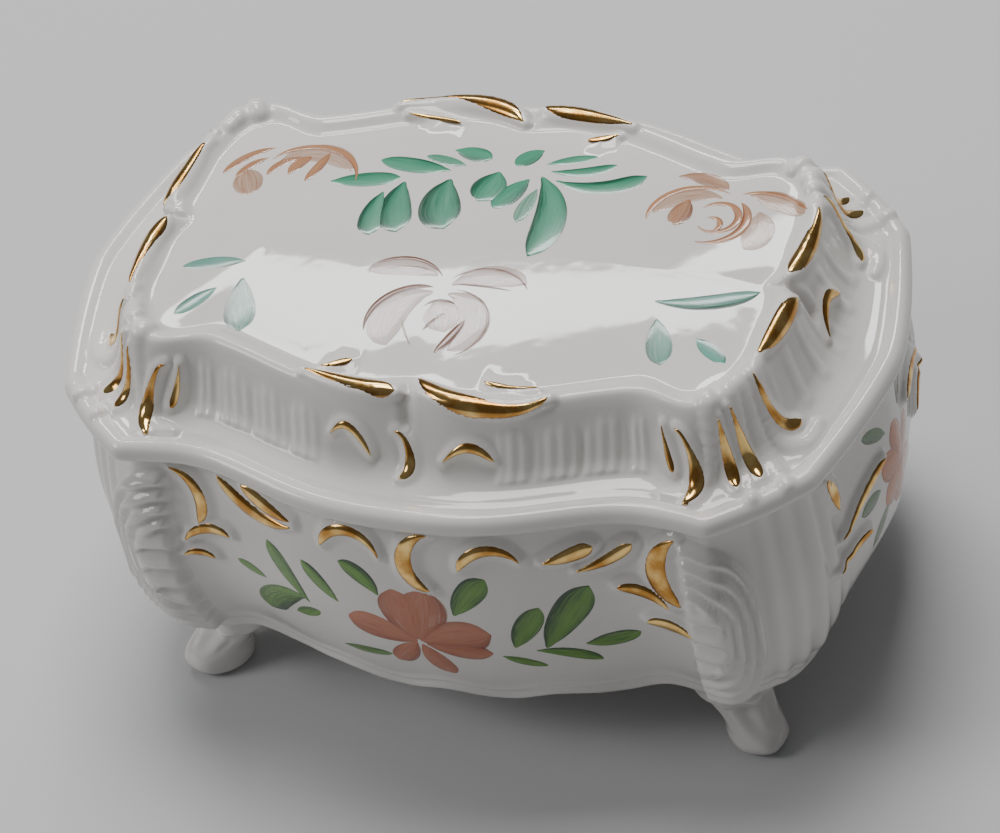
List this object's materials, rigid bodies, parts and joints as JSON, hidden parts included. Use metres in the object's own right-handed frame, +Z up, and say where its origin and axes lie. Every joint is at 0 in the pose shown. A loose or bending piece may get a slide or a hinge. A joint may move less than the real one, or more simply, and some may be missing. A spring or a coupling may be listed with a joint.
{
  "type": "trinket box",
  "caption": "Porcelain trinket box: hollow bombe bowl with canted corners on splayed feet, and a loose cove-moulded lid located by a flange.",
  "frame": {"origin": "on the table, under the middle of the box", "axes": "+X along the length towards the right-hand end, +Y from the front towards the back, +Z up"},
  "size_m": [0.19, 0.132, 0.102],
  "materials": {
    "porcelain": "gloss",
    "bare_porcelain": "matte",
    "gold_lustre": "polished",
    "leaf_enamel": "gloss",
    "petal_enamel": "gloss"
  },
  "bodies": {
    "box": {"bowl": "porcelain", "foot_front_left": "porcelain", "foot_front_right": "porcelain", "foot_rear_left": "porcelain", "foot_rear_right": "porcelain"},
    "cover": {"lid": "porcelain", "lid_flange": "bare_porcelain"}
  },
  "joints": [
    {"name": "lid_lift", "type": "slide", "parent": "box", "child": "cover", "axis": [0, 0, 1], "range_m": [0, 0.08]}
  ]
}
